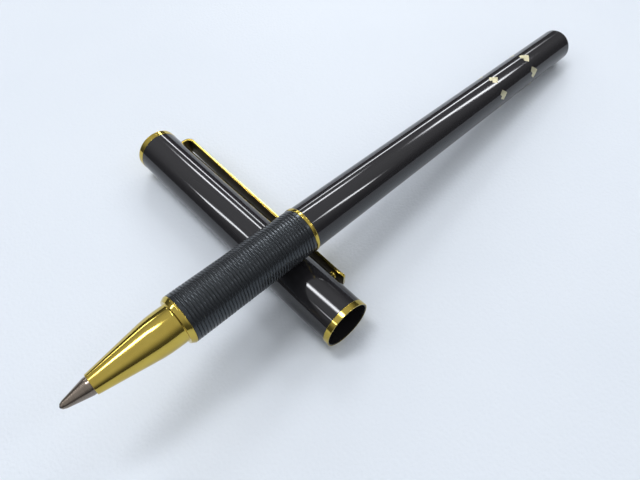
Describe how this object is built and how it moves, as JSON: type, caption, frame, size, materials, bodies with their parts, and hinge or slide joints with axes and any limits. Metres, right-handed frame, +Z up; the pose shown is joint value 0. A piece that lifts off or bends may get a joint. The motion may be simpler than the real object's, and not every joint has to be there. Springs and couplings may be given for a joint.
{
  "type": "capped rollerball pen",
  "caption": "Slim capped rollerball pen lying across its own cap: tapered lacquered barrel, ringed grip, plated nose cone and clip; the writing section unscrews and carries the refill.",
  "frame": {"origin": "centre of the whole object's footprint, on the surface it lies on", "axes": "+X from the writing tip towards the barrel's rear end, +Y from the cap's mouth towards its closed end, +Z up"},
  "size_m": [0.1294, 0.0592, 0.0213],
  "materials": {
    "black_lacquer": "gloss",
    "satin_black": "satin",
    "gold_plate": "polished",
    "pale_gold": "satin",
    "bare_brass": "machined",
    "nickel_silver": "satin",
    "carbide": "polished",
    "spring_steel": "drawn",
    "refill_metal": "satin",
    "white_plastic": "moulded",
    "black_plastic": "moulded",
    "ink_fibre": "ink-soaked"
  },
  "bodies": {
    "barrel_body": {"barrel_tube": "black_lacquer", "barrel_end_plug": "black_lacquer", "barrel_bush": "bare_brass", "inlay_chevrons": "pale_gold", "refill_spring": "spring_steel"},
    "ring_body": {"joint_ring": "gold_plate"},
    "section_body": {"section_core": "bare_brass", "grip_sleeve": "satin_black", "nose_cone": "gold_plate"},
    "refill_body": {"refill_end_plug": "white_plastic", "refill_tube": "refill_metal", "ink_reservoir": "ink_fibre", "refill_holder": "white_plastic", "feed_rod": "ink_fibre", "refill_tip": "nickel_silver"},
    "ball_body": {"writing_ball": "carbide"},
    "cap_body": {"cap_tube": "black_lacquer", "cap_lip_ring": "gold_plate", "inner_cap": "black_plastic", "cap_top_bush": "bare_brass", "finial": "gold_plate"},
    "clip_body": {"clip": "gold_plate", "clip_ball": "gold_plate"}
  },
  "joints": [
    {"name": "section_travel", "type": "slide", "parent": "barrel_body", "child": "ring_body", "axis": [-0.9926, 0, 0.1214], "range_m": [0, 0.006]},
    {"name": "section_turn", "type": "hinge", "parent": "ring_body", "child": "section_body", "pos_m": [-0.01765, -0.01372, 0.01358], "axis": [-0.9926, 0, 0.1214], "range_deg": [0, 2160]},
    {"name": "refill_push", "type": "slide", "parent": "section_body", "child": "refill_body", "axis": [-0.9926, 0, 0.1214], "range_m": [-0.0008, 0], "stiffness_N_per_m": 300, "springref_m": 0.002, "deforming": ["refill_spring"]},
    {"name": "ball_roll", "type": "hinge", "parent": "refill_body", "child": "ball_body", "pos_m": [-0.06435, -0.01372, 0.01929], "axis": [0, 1, 0], "continuous": true},
    {"name": "cap_draw", "type": "slide", "parent": "barrel_body", "child": "cap_body", "axis": [0, -1, 0], "range_m": [0, 0.06]},
    {"name": "clip_flex", "type": "hinge", "parent": "cap_body", "child": "clip_body", "pos_m": [-0.01764, 0.02587, 0.00408], "axis": [0.1167, 0.0043, 0.9932], "range_deg": [0, 4], "stiffness_Nm_per_rad": 0.05, "springref_deg": -5.73}
  ],
  "couplings": [
    {"joint": "section_turn", "follows": "section_travel", "rad_per_m": 6283.2}
  ]
}
